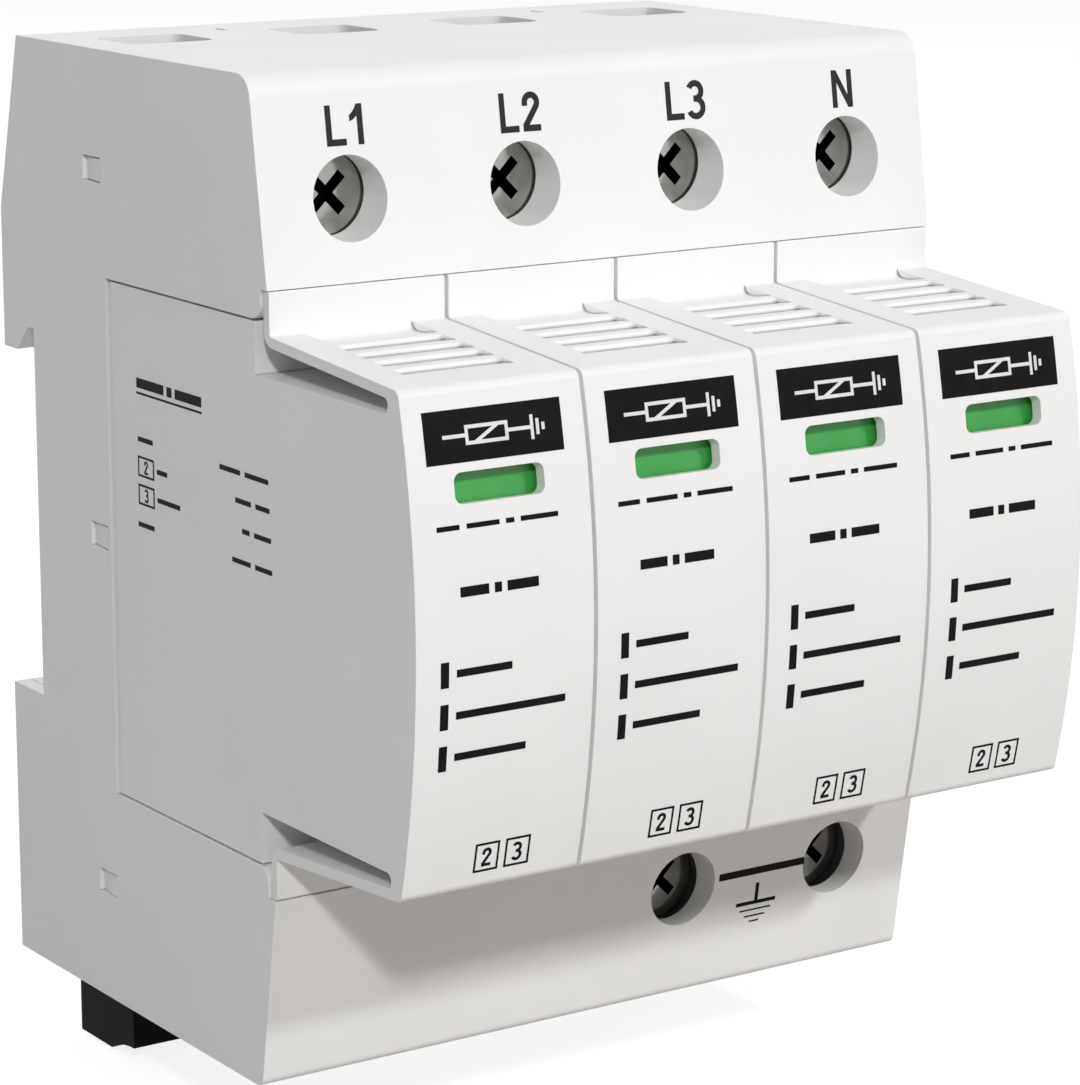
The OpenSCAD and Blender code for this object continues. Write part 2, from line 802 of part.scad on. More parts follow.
// Saw-tooth groove: an upright wall with rounded ends, and a ramp that runs out towards the front
module tooth_groove(x, k) {
    wall = shoulder_d + groove_start + k * groove_pitch;
    end = wall + groove_ramp;
    half_w = groove_w / 2;
    intersection() {
        across(x - half_w, x + half_w) polygon([
            [wall, grip_z(wall) - groove_depth],
            [end, grip_z(end)],
            [end, grip_z(wall) + seat],
            [wall, grip_z(wall) + seat]
        ]);
        translate([x, 0, grip_z(wall) - groove_depth - over]) linear_extrude(groove_depth + 2 * over)
            soft_polygon(
                [[-half_w, -end], [half_w, -end], [half_w, -wall], [-half_w, -wall]],
                [0, 0, groove_end_r, groove_end_r]
            );
    }
}

// Finger grooves of the upper grip: the scoop and a row of saw teeth
module finger_grooves(x) {
    across(x - groove_w / 2, x + groove_w / 2) scoop_outline();
    for (k = [0 : grooves - 1]) tooth_groove(x, k);
}

// Module case: one moulding with the nose, the grips and the window, open at the back
module module_case(i) {
    x = pole_x(i);
    rib_d = flag_back - 2 * seat;
    rib_x = flag_w / 2 - flag_rib_lap;
    color("white") {
        difference() {
            across(x - module_w / 2, x + module_w / 2) module_outline();
            across(x - case_x, x + case_x)
                translate([module_back_d - over, -case_z])
                    square([case_front - module_back_d + over, 2 * case_z]);
            across(x - case_x, x + case_x) intersection() {
                translate([module_back_d, -nose_in_z]) square([module_d, 2 * nose_in_z]);
                translate([front_centre, 0]) circle(inner_r, $fn = 256);
            }
            at_window(x) forward(flag_front, over) soft_rectangle([0, 0], [window_w, window_h], window_r);
            for (side = [0, 1])
                mirror([0, 0, side]) finger_grooves(x);
        }
        // Ribs that the status flag runs in front of
        for (side = [0, 1])
            at_window(x) mirror([side, 0, 0]) block(
                [rib_x, rib_d - flag_rib_t, flag_bottom],
                [case_x + seat, rib_d, flag_top + flag_travel]
            );
    }
}

// Module back: a cap that closes the case, with slots for the blades and a cradle for the varistor
module module_back(i) {
    x = pole_x(i);
    half_x = case_x - seat;
    half_z = case_z - seat;
    rest_z = varistor_side / 2 + 1.5 * seat;
    slot_x = blade_t / 2 + seat / 2;
    slot_z = blade_h / 2 + seat / 2;
    color("gainsboro") {
        difference() {
            block([x - half_x, module_back_d, -half_z], [x + half_x, cap_in, half_z]);
            for (z = [-blade_z, blade_z])
                block(
                    [x - slot_x, module_back_d - over, z - slot_z],
                    [x + slot_x, cap_in + over, z + slot_z]
                );
        }
        for (z = [-rest_z - cradle_t, rest_z])
            block(
                [x + varistor_x + 2 * seat, cap_in - seat, z],
                [x + varistor_x + varistor_t - 2 * seat, cap_in + cradle_len, z + cradle_t]
            );
    }
}

// Contact blade: a flat strip with a tapered tip, from the jaw to inside_d within the module
module contact_blade(i, z, inside_d) {
    half_t = blade_t / 2;
    tip_t = 0.25;
    tip_len = 1.1;
    color("silver") translate([pole_x(i), 0, z - blade_h / 2]) linear_extrude(blade_h) polygon([
        [-tip_t, -blade_tip],
        [-half_t, -blade_tip - tip_len],
        [-half_t, -inside_d],
        [half_t, -inside_d],
        [half_t, -blade_tip - tip_len],
        [tip_t, -blade_tip]
    ]);
}

module upper_blade(i) {
    contact_blade(i, blade_z, cap_in + upper_blade_stub);
}

module lower_blade(i) {
    contact_blade(i, -blade_z, varistor_back + lower_blade_lap);
}

// Varistor: a square coated block that stands beside the blades
module varistor(i) {
    x0 = pole_x(i) + varistor_x;
    color("steelblue") across(x0, x0 + varistor_t)
        soft_rectangle([varistor_back + varistor_side / 2, 0], [varistor_side, varistor_side], varistor_r);
}

// Thermal arm: a sprung strip from the upper blade, with a foot soldered to the varistor
module thermal_arm(i) {
    x = pole_x(i);
    back = cap_in + 2 * seat;
    low = blade_z - arm_h / 2;
    foot_top = min(blade_z + arm_h / 2, varistor_side / 2 - arm_edge);
    color("goldenrod") {
        block([x + arm_x - arm_t, back, low], [x + arm_x, back + arm_len, blade_z + arm_h / 2]);
        block(
            [x + arm_x - arm_t, back + arm_len - arm_foot, low],
            [x + varistor_x - seat / 2, back + arm_len, foot_top]
        );
    }
}

// Status flag: a slider with the field behind the window and a stem to the thermal arm
module status_flag(i) {
    x = pole_x(i);
    root = window_point(flag_back + flag_t / 2, flag_bottom + flag_stem_rise);
    color("mediumseagreen") {
        at_window(x) block([-flag_w / 2, flag_back, flag_bottom], [flag_w / 2, flag_front, flag_top]);
        block(
            [x + flag_stem_x - flag_stem_w / 2, cap_in + arm_len + arm_play, root[1]],
            [x + flag_stem_x + flag_stem_w / 2, root[0], root[1] + flag_stem_h]
        );
    }
}

base_housing();
rear_plate();
earth_bar();
for (i = [1, 2]) rail_clip(i);
for (i = poles) line_contact(i);
for (i = poles) terminal_screw(pole_x(i), terminal_z);
for (i = [1, 2]) terminal_screw(pole_x(earth_poles[i - 1]), -terminal_z);
for (i = poles) clamp_cage(pole_x(i), terminal_z);
for (i = [1, 2]) clamp_cage(pole_x(earth_poles[i - 1]), -terminal_z);
for (i = poles) module_case(i);
for (i = poles) module_back(i);
for (i = poles) upper_blade(i);
for (i = poles) lower_blade(i);
for (i = poles) varistor(i);
for (i = poles) thermal_arm(i);
for (i = poles) status_flag(i);
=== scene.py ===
"""Looks of a plug-in surge arrester for a 35 mm rail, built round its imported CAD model."""
import math

import bmesh
import bpy
from mathutils import Matrix, Vector


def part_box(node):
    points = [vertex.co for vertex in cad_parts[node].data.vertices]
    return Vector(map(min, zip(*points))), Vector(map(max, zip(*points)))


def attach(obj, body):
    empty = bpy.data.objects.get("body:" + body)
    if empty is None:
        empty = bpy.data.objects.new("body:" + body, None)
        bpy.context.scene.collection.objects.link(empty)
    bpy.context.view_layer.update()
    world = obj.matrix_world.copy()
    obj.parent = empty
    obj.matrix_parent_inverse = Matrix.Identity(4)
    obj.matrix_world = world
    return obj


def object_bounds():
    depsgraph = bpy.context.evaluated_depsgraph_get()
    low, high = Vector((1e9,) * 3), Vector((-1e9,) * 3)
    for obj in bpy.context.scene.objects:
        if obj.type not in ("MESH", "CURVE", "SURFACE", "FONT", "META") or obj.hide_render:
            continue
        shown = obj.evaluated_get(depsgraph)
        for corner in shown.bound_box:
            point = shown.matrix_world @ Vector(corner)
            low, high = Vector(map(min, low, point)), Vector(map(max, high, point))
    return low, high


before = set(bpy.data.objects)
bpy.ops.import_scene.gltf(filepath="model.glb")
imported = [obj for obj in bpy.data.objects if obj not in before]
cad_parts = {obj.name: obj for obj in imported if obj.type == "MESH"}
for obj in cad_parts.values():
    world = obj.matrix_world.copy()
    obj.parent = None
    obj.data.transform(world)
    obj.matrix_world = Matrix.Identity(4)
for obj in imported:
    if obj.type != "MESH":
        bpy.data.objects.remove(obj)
cad_low, cad_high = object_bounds()


# Base housing and rear plate: two mouldings in white polyamide that snap together round the contacts.
# The tool was spark eroded, so every outer face has the same fine satin grain.

MM = 0.001


def linear(hex_colour):
    """Linear RGBA of an sRGB hex colour."""
    channels = [int(hex_colour[k:k + 2], 16) / 255 for k in (1, 3, 5)]
    return [c / 12.92 if c <= 0.04045 else ((c + 0.055) / 1.055) ** 2.4 for c in channels] + [1.0]


def add_node(tree, kind, inputs=None, **settings):
    """Adds a node with its settings. An input is a value, or the output socket that it is linked to."""
    node = tree.nodes.new(kind)
    for name, value in settings.items():
        setattr(node, name, value)
    for name, value in (inputs or {}).items():
        if isinstance(value, bpy.types.NodeSocket):
            tree.links.new(value, node.inputs[name])
        else:
            node.inputs[name].default_value = value
    return node


def new_material(name, roughness, ior=1.5, metallic=0.0, mirror=0.5):
    """A material with a bare principled shader, and its node tree. The usual mirror strength is 0.5."""
    material = bpy.data.materials.new(name)
    material.use_nodes = True
    tree = material.node_tree
    shader = tree.nodes["Principled BSDF"]
    shader.inputs["Roughness"].default_value = roughness
    shader.inputs["IOR"].default_value = ior
    shader.inputs["Metallic"].default_value = metallic
    shader.inputs["Specular IOR Level"].default_value = mirror
    return material, tree, shader


CLOUD_LIMITS = (0.35, 0.65)


def colour_cloud(tree, coordinates, patch_mm, dark, light):
    """Soft drift between two near colours, over patches of the given size."""
    cloud = add_node(tree, "ShaderNodeTexNoise", {
        "Vector": coordinates, "Scale": 1 / (patch_mm * MM), "Detail": 3.0})
    ramp = add_node(tree, "ShaderNodeValToRGB", {"Fac": cloud.outputs["Fac"]})
    for stop, limit, colour in zip(ramp.color_ramp.elements, CLOUD_LIMITS, (dark, light)):
        stop.position = limit
        stop.color = linear(colour)
    return ramp.outputs["Color"]


FLOW_PATCH_MM = 14
# Painted shade in sharp inner corners: how far the occlusion reaches, the occlusion range it maps, and its
# darkest tone.
CORNER_SHADE_REACH = 0.45 * MM
CORNER_SHADE_LIMITS = (0.5, 0.75)
CORNER_SHADE_TONE = 0.25
SATIN_SPREAD = 0.05
SOFT_EDGE = 0.06 * MM
RELIEF = 0.01 * MM


def moulded_plastic(name, dark, light, roughness, ior, mirror=0.5, grain_mm=0.3, grain_depth=0.2):
    """Moulded plastic: near colours that drift with the flow, a spark-eroded grain and softened edges.
    Sharp inner corners are darkened with painted shade, where ambient occlusion finds them. The real grain
    is about 0.05 mm, and is drawn coarser to show."""
    material, tree, shader = new_material(name, roughness, ior, mirror=mirror)
    place = add_node(tree, "ShaderNodeTexCoord").outputs["Object"]
    unshaded_tone = colour_cloud(tree, place, FLOW_PATCH_MM, dark, light)
    # Painted shade: ambient occlusion darkens the base colour in sharp inner corners and creases.
    corner = add_node(tree, "ShaderNodeAmbientOcclusion", {
        "Distance": CORNER_SHADE_REACH}, samples=4, only_local=True)
    painted_shade = add_node(tree, "ShaderNodeMapRange", {
        "Value": corner.outputs["AO"], "From Min": CORNER_SHADE_LIMITS[0], "From Max": CORNER_SHADE_LIMITS[1],
        "To Min": CORNER_SHADE_TONE, "To Max": 1.0})
    tone = add_node(tree, "ShaderNodeMixRGB", {
        "Fac": 1.0, "Color1": unshaded_tone, "Color2": painted_shade.outputs["Result"]}, blend_type="MULTIPLY")
    tree.links.new(tone.outputs["Color"], shader.inputs["Base Color"])
    grain = add_node(tree, "ShaderNodeTexNoise", {
        "Vector": place, "Scale": 1 / (grain_mm * MM), "Detail": 2.0})
    sheen = add_node(tree, "ShaderNodeMapRange", {
        "Value": grain.outputs["Fac"],
        "To Min": roughness - SATIN_SPREAD, "To Max": roughness + SATIN_SPREAD})
    tree.links.new(sheen.outputs["Result"], shader.inputs["Roughness"])
    edge = add_node(tree, "ShaderNodeBevel", {"Radius": SOFT_EDGE}, samples=4)
    bump = add_node(tree, "ShaderNodeBump", {
        "Height": grain.outputs["Fac"], "Strength": grain_depth, "Distance": RELIEF,
        "Normal": edge.outputs["Normal"]})
    tree.links.new(bump.outputs["Normal"], shader.inputs["Normal"])
    return material


def dress(material, *nodes):
    """Gives CAD nodes their finish."""
    for name in nodes:
        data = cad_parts[name].data
        data.materials.clear()
        data.materials.append(material)


# Satin white, with a faint drift of tone and a dark line of painted shade where two faces meet in a corner.
white_polyamide = moulded_plastic("white_polyamide_satin", "#EEEEED", "#F1F1F0", roughness=0.55, ior=1.53)
dress(white_polyamide, "base_housing", "rear_plate")


# Terminal marks: black pad print on the shoulders, a letter and number over each line screw, and a link
# with the earth sign between the two earth screws. The ink stands two hundredths of a millimetre proud.

INK_DEPTH = 0.02 * MM
INK_RISE = 0.02 * MM
INK_PATCH_MM = 2
FILM_PATCH_MM = 0.4
INK_ROUGHNESS = 0.45
INK_SPREAD = 0.09


def print_ink(name, dark, light):
    """Pad-printed ink: a thin even matt film, a little glossier where it is thicker."""
    material, tree, shader = new_material(name, INK_ROUGHNESS, ior=1.48, mirror=0.05)
    place = add_node(tree, "ShaderNodeTexCoord").outputs["Object"]
    tree.links.new(colour_cloud(tree, place, INK_PATCH_MM, dark, light), shader.inputs["Base Color"])
    film = add_node(tree, "ShaderNodeTexNoise", {"Vector": place, "Scale": 1 / (FILM_PATCH_MM * MM)})
    sheen = add_node(tree, "ShaderNodeMapRange", {
        "Value": film.outputs["Fac"],
        "To Min": INK_ROUGHNESS - INK_SPREAD, "To Max": INK_ROUGHNESS + INK_SPREAD})
    tree.links.new(sheen.outputs["Result"], shader.inputs["Roughness"])
    return material


# The line marks are a thin film that looks charcoal, and the earth mark a heavy one that looks jet black.
charcoal_ink = print_ink("charcoal_pad_print", "#322E30", "#393537")
jet_ink = print_ink("jet_black_pad_print", "#050505", "#080808")


def add_bar(bm, low, high, rows=1):
    """Adds a flat bar between two corners in millimetres, in rows where it has to follow a bend."""
    size = (Vector(high) - Vector(low)) * MM
    middle = (Vector(high) + Vector(low)) / 2 * MM
    bmesh.ops.create_grid(
        bm, x_segments=1, y_segments=rows, size=0.5,
        matrix=Matrix.Translation((*middle, 0)) @ Matrix.Diagonal((*size, 1, 1)))


def add_frame(bm, low, high, line):
    """Adds a flat square outline of the given line width, in millimetres."""
    for bar_low, bar_high in (
            (low, (high[0], low[1] + line)), ((low[0], high[1] - line), high),
            ((low[0], low[1] + line), (low[0] + line, high[1] - line)),
            ((high[0] - line, low[1] + line), (high[0], high[1] - line))):
        add_bar(bm, bar_low, bar_high)


def add_field(bm, corners):
    """Adds one flat field between its corners, in millimetres."""
    bm.faces.new([bm.verts.new(Vector((*corner, 0)) * MM) for corner in corners])


BEND_STEP = 15


def draw_stroke(bm, start, heading, line, moves):
    """Draws a flat stroke with a broad pen, in millimetres. A move is a straight run, or a bend as its
    radius and the degrees that it turns to the left. Returns the stroke's faces."""
    older = set(bm.faces)
    place = Vector((*start, 0)) * MM
    ahead = Vector((math.cos(math.radians(heading)), math.sin(math.radians(heading)), 0))
    side = Vector((-ahead.y, ahead.x, 0)) * line * MM / 2
    nib = bm.edges.new((bm.verts.new(place - side), bm.verts.new(place + side)))
    for move in moves:
        if isinstance(move, tuple):
            radius, bend = move
            to_centre = Vector((-ahead.y, ahead.x, 0)) * math.copysign(radius * MM, bend)
            swing = Matrix.Rotation(math.radians(bend), 3, "Z")
            made = bmesh.ops.spin(
                bm, geom=[*nib.verts, nib], cent=place + to_centre, axis=(0, 0, 1),
                angle=math.radians(bend), steps=math.ceil(abs(bend) / BEND_STEP))["geom_last"]
            place += to_centre - swing @ to_centre
            ahead = swing @ ahead
        else:
            made = bmesh.ops.extrude_edge_only(bm, edges=[nib])["geom"]
            ends = [part for part in made if isinstance(part, bmesh.types.BMVert)]
            bmesh.ops.translate(bm, verts=ends, vec=ahead * move * MM)
            made = [
                part for part in made
                if isinstance(part, bmesh.types.BMEdge) and set(part.verts) == set(ends)]
            place += ahead * move * MM
        nib = next(part for part in made if isinstance(part, bmesh.types.BMEdge))
    return [face for face in bm.faces if face not in older]


def trim(bm, faces, point, beyond):
    """Cuts off what lies beyond a point of a stroke, in millimetres."""
    parts = {part for face in faces for part in (face, *face.edges, *face.verts)}
    bmesh.ops.bisect_plane(
        bm, geom=list(parts), plane_co=Vector((*point, 0)) * MM, plane_no=(*beyond, 0), clear_outer=True)


# Signs are drawn in shares of their height, and bends in degrees.
SIGN_LINE = 0.165
SIGN_WIDTH = {"L": 0.57, "1": 0.38, "2": 0.54, "3": 0.57, "N": 0.685}
SIGN_GAP = 0.125
ONE_FLAG = [(0, 0.575), (0.11, 0.62), (0.215, 0.71), (0.215, 1.0), (0.165, 0.9), (0.1, 0.815), (0, 0.725)]
TWO_BEND = 216
THREE_BOWLS = (0.2, 0.2275)
THREE_BEND = 245
THREE_STUB = 0.06


def add_sign(bm, sign, corner, cap):
    """Adds one plain letter or number of the given height at its lower left corner, in millimetres."""
    line = SIGN_LINE * cap
    width = SIGN_WIDTH[sign] * cap
    left, low = corner
    right, high = left + width, low + cap
    if sign == "L":
        add_bar(bm, (left, low), (left + line, high))
        add_bar(bm, (left + line, low), (right, low + line))
    elif sign == "1":
        add_bar(bm, (right - line, low), (right, high))
        add_field(bm, [(left + x * cap, low + z * cap) for x, z in ONE_FLAG])
    elif sign == "2":
        bowl = (width - line) / 2
        start = (left + line / 2, high - bowl - line)
        hook = draw_stroke(bm, start, 90, line, [line / 2, (bowl, -TWO_BEND), cap])
        trim(bm, hook, (left, low + line), (0, -1))
        add_bar(bm, (left, low), (right, low + line))
    elif sign == "3":
        upper, lower = (share * cap for share in THREE_BOWLS)
        stub = THREE_STUB * cap
        waist = high - line / 2 - 2 * upper
        start = (right - line / 2 - lower - stub, waist)
        bowl = draw_stroke(bm, start, 0, line, [stub, (upper, THREE_BEND)])
        trim(bm, bowl, (left, waist), (0, -1))
        bowl = draw_stroke(bm, start, 0, line, [stub, (lower, -THREE_BEND)])
        trim(bm, bowl, (left, waist), (0, 1))
    elif sign == "N":
        drop = 2 * line
        add_bar(bm, (left, low), (left + line, high))
        add_bar(bm, (right - line, low), (right, high))
        add_field(bm, [
            (left + line, high), (left + line, high - drop),
            (right - line, low), (right - line, low + drop)])


def add_signs(bm, signs, middle, cap):
    """Adds a row of plain letters or numbers round a middle."""
    widths = [SIGN_WIDTH[sign] * cap for sign in signs]
    left = middle[0] - (sum(widths) + SIGN_GAP * cap * (len(signs) - 1)) / 2
    for sign, width in zip(signs, widths):
        add_sign(bm, sign, (left, middle[1] - cap / 2), cap)
        left += width + SIGN_GAP * cap


def lay_print(name, bm, surface, ink, body, over=0.0):
    """Gives a flat print its film thickness, lays it on a surface and lets it ride on a body.
    The surface turns a place on the print and a height above it into a point of the frame.
    A second colour lies over the first by the given height."""
    film = bmesh.ops.extrude_face_region(bm, geom=bm.faces[:])
    for part in film["geom"]:
        if isinstance(part, bmesh.types.BMVert):
            part.co.z += INK_DEPTH + INK_RISE
    for vert in bm.verts:
        vert.co = surface(vert.co.x, vert.co.y, vert.co.z - INK_DEPTH + over)
    bmesh.ops.recalc_face_normals(bm, faces=bm.faces[:])
    data = bpy.data.meshes.new(name)
    bm.to_mesh(data)
    bm.free()
    data.materials.append(ink)
    piece = bpy.data.objects.new(name, data)
    bpy.context.scene.collection.objects.link(piece)
    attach(piece, body)


def pole_x(pole):
    """Middle of a pole along the rail."""
    low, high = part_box(f"module_case_{pole}")
    return (low.x + high.x) / 2


SHOULDER_D = 44 * MM
SHOULDER_LEAN = 2.75 * MM
SHOULDER_ROOT_Z = 27 * MM
BASE_TOP_Z = 45 * MM


def on_shoulder(x, z, height):
    """Point on the leaning front of a shoulder."""
    lean = SHOULDER_LEAN / (BASE_TOP_Z - SHOULDER_ROOT_Z)
    d = SHOULDER_D - lean * (abs(z) - SHOULDER_ROOT_Z)
    return Vector((x, -d - height, z))


POLES = range(1, 5)
LINE_MARKS = ["L1", "L2", "L3", "N"]
MARK_Z = 40.3
MARK_HEIGHT = 3.45
for pole, mark in zip(POLES, LINE_MARKS):
    bm = bmesh.new()
    add_signs(bm, mark, (pole_x(pole) / MM, MARK_Z), MARK_HEIGHT)
    lay_print(f"line_mark_{pole}", bm, on_shoulder, charcoal_ink, "base")

EARTH_LINK = ((13.2, -34.15), (23.4, -33.4))
EARTH_STEM = ((17.75, -36.92), (18.15, -35.1))
EARTH_STROKES = [(-37.11, 4.7, 0.38), (-37.85, 3.65, 0.16), (-38.5, 2.45, 0.16), (-39.07, 1.15, 0.16)]
bm = bmesh.new()
add_bar(bm, *EARTH_LINK)
add_bar(bm, *EARTH_STEM)
earth_x = (EARTH_STEM[0][0] + EARTH_STEM[1][0]) / 2
for z, length, line in EARTH_STROKES:
    add_bar(bm, (earth_x - length / 2, z - line / 2), (earth_x + length / 2, z + line / 2))
lay_print("earth_mark", bm, on_shoulder, jet_ink, "base")


# Rail clips: black glass-filled polyamide sliders that spring behind the rail's lower lip, each with a pull
# tab under the base. They come from a grained tool, so they are dull all over.

black_polyamide = moulded_plastic(
    "black_polyamide_dull", "#0A0A0A", "#0F0F0F", roughness=0.6, ior=1.53, mirror=0.05)
dress(black_polyamide, "rail_clip_1", "rail_clip_2")


# Contacts: copper strips, stamped and folded, with a pair of spring leaves for each blade of a module.
# They are left bare, so rolling lines run along the strip under a slight tarnish.

TARNISH_PATCH_MM = 5
ROLLED_SPREAD = 0.08
ROLLED_DEPTH = 0.15


def rolled_metal(name, dark, light, roughness, line_mm, stretch):
    """Rolled or plated sheet metal: two near tones, with fine lines drawn out along the stretched axis."""
    material, tree, shader = new_material(name, roughness, metallic=1.0)
    place = add_node(tree, "ShaderNodeTexCoord").outputs["Object"]
    tree.links.new(colour_cloud(tree, place, TARNISH_PATCH_MM, dark, light), shader.inputs["Base Color"])
    drawn = add_node(tree, "ShaderNodeMapping", {"Vector": place, "Scale": stretch})
    lines = add_node(tree, "ShaderNodeTexNoise", {
        "Vector": drawn.outputs["Vector"], "Scale": 1 / (line_mm * MM), "Detail": 2.0})
    sheen = add_node(tree, "ShaderNodeMapRange", {
        "Value": lines.outputs["Fac"],
        "To Min": roughness - ROLLED_SPREAD, "To Max": roughness + ROLLED_SPREAD})
    tree.links.new(sheen.outputs["Result"], shader.inputs["Roughness"])
    bump = add_node(tree, "ShaderNodeBump", {
        "Height": lines.outputs["Fac"], "Strength": ROLLED_DEPTH, "Distance": RELIEF})
    tree.links.new(bump.outputs["Normal"], shader.inputs["Normal"])
    return material


def each_pole(*pieces):
    """Names of the nodes that every pole has."""
    return [f"{piece}_{pole}" for piece in pieces for pole in POLES]


bare_copper = rolled_metal(
    "rolled_copper", "#A8633F", "#C98A63", roughness=0.34, line_mm=0.15, stretch=(1, 1, 0.05))
dress(bare_copper, "earth_bar", *each_pole("line_contact"))


# Clamp cages: bent steel strip that the screws draw over the wires. They are barrel zinc plated, so the
# faces are a pale blue grey with a soft mottle.

zinc_plate = rolled_metal(
    "zinc_plated_steel", "#A4ACB4", "#C3C9CF", roughness=0.36, line_mm=0.4, stretch=(1, 1, 1))
dress(zinc_plate, *each_pole("line_cage"), "earth_cage_1", "earth_cage_2")


# Terminal screws: turned steel, zinc plated and sealed grey, captive behind their holes. The head keeps
# the rings of the turning tool, and the punched cross recess is painted near black as shade.

RECESS_R = 2.4 * MM
RECESS_DEPTH = 0.1 * MM
RING_PITCH = 0.5 * MM
RING_ROUGHNESS = (0.1, 0.18)
RING_DEPTH = 0.05
PLATING_PATCH_MM = 2.5


def turned_screw_steel():
    """Grey plated steel with turning rings round each screw's own axis, and painted shade in the recess.
    The poles are folded onto one pole, and the earth screws onto the line screws."""
    material, tree, shader = new_material(
        "zinc_plated_screw_steel", sum(RING_ROUGHNESS) / 2, metallic=1.0)
    place = add_node(tree, "ShaderNodeTexCoord").outputs["Object"]
    plate = colour_cloud(tree, place, PLATING_PATCH_MM, "#979592", "#A9A7A4")
    axes = add_node(tree, "ShaderNodeSeparateXYZ", {"Vector": place})
    pitch = pole_x(2) - pole_x(1)
    shifted = add_node(tree, "ShaderNodeMath", {0: axes.outputs["X"], 1: 2 * pitch}, operation="ADD")
    wrapped = add_node(tree, "ShaderNodeMath", {0: shifted.outputs[0], 1: pitch}, operation="MODULO")
    across = add_node(tree, "ShaderNodeMath", {0: wrapped.outputs[0], 1: pitch / 2}, operation="SUBTRACT")
    height = add_node(tree, "ShaderNodeMath", {0: axes.outputs["Z"]}, operation="ABSOLUTE")
    low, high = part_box("line_screw_1")
    up = add_node(tree, "ShaderNodeMath", {
        0: height.outputs[0], 1: (low.z + high.z) / 2}, operation="SUBTRACT")
    spoke = add_node(tree, "ShaderNodeCombineXYZ", {"X": across.outputs[0], "Y": up.outputs[0]})
    reach = add_node(tree, "ShaderNodeVectorMath", {0: spoke.outputs[0]}, operation="LENGTH")
    radius = reach.outputs["Value"]
    near = add_node(tree, "ShaderNodeMath", {0: radius, 1: RECESS_R}, operation="LESS_THAN")
    deep = add_node(tree, "ShaderNodeMath", {
        0: axes.outputs["Y"], 1: low.y + RECESS_DEPTH}, operation="GREATER_THAN")
    recess_shade = add_node(tree, "ShaderNodeMath", {
        0: near.outputs[0], 1: deep.outputs[0]}, operation="MULTIPLY")
    # Painted shade: the cross recess gets a near-black colour in place of the shade that falls in it.
    tone = add_node(tree, "ShaderNodeMixRGB", {
        "Fac": recess_shade.outputs[0], "Color1": plate, "Color2": linear("#14130F")})
    tree.links.new(tone.outputs["Color"], shader.inputs["Base Color"])
    turns = add_node(tree, "ShaderNodeMath", {0: radius, 1: 2 * math.pi / RING_PITCH}, operation="MULTIPLY")
    rings = add_node(tree, "ShaderNodeMath", {0: turns.outputs[0]}, operation="SINE")
    sheen = add_node(tree, "ShaderNodeMapRange", {
        "Value": rings.outputs[0], "From Min": -1.0,
        "To Min": RING_ROUGHNESS[0], "To Max": RING_ROUGHNESS[1]})
    tree.links.new(sheen.outputs["Result"], shader.inputs["Roughness"])
    bump = add_node(tree, "ShaderNodeBump", {
        "Height": rings.outputs[0], "Strength": RING_DEPTH, "Distance": RELIEF})
    tree.links.new(bump.outputs["Normal"], shader.inputs["Normal"])
    return material


dress(turned_screw_steel(), *each_pole("line_screw"), "earth_screw_1", "earth_screw_2")


# Module cases and their backs: white polyamide like the base, each case one moulding with its sprung grips.
# A cap closes it from behind. The finish is a shade smoother than that of the base.

white_module = moulded_plastic("white_polyamide_module", "#EFEFEE", "#F2F2F1", roughness=0.53, ior=1.53)
dress(white_module, *each_pole("module_case", "module_back"))


# Contact blades: copper stampings that stand out of the module's back and plug into the spring leaves.
# Their matt tin plate has drawn lines along the way they plug in.

tin_plate = rolled_metal(
    "tin_plated_copper", "#B4B3AE", "#CFCEC9", roughness=0.32, line_mm=0.12, stretch=(1, 0.05, 1))
dress(tin_plate, *each_pole("upper_blade", "lower_blade"))


# Varistors and thermal arms: a sintered block dipped in blue epoxy, glossy and a little lumpy, and a bronze
# spring strip that is soldered to it and lets go when it overheats.

blue_epoxy = moulded_plastic(
    "dipped_blue_epoxy", "#223C78", "#2C4A8C", roughness=0.34, ior=1.55, grain_mm=0.8, grain_depth=0.4)
dress(blue_epoxy, *each_pole("varistor"))
spring_bronze = rolled_metal(
    "spring_bronze", "#A67C3A", "#C29A57", roughness=0.3, line_mm=0.12, stretch=(1, 0.05, 1))
dress(spring_bronze, *each_pole("thermal_arm"))


# Status flags: green moulded sliders behind the windows.
# The lower half of each is sprayed red, and it comes up into the window when the module has tripped.

FLAG_CHANGE = 0.53
FLAG_PATCH_MM = 3


def flag_plastic():
    """Glossy green plastic with a red field below the part that the window shows."""
    low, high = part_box("status_flag_1")
    change_z = low.z + FLAG_CHANGE * (high.z - low.z)
    material, tree, shader = new_material("green_and_red_flag_plastic", roughness=0.3, ior=1.5)
    place = add_node(tree, "ShaderNodeTexCoord").outputs["Object"]
    green = colour_cloud(tree, place, FLAG_PATCH_MM, "#329640", "#399C48")
    red = colour_cloud(tree, place, FLAG_PATCH_MM, "#B32A25", "#C2352E")
    axes = add_node(tree, "ShaderNodeSeparateXYZ", {"Vector": place})
    lower = add_node(tree, "ShaderNodeMath", {0: axes.outputs["Z"], 1: change_z}, operation="LESS_THAN")
    field = add_node(tree, "ShaderNodeMixRGB", {"Fac": lower.outputs[0], "Color1": green, "Color2": red})
    tree.links.new(field.outputs["Color"], shader.inputs["Base Color"])
    return material


dress(flag_plastic(), *each_pole("status_flag"))


# Front print of the modules: a dark field with a plain varistor and earth sign, lines of small print as
# bars, and two class boxes with plain numbers, all pad printed on the arched front.

FRONT_R = 92 * MM


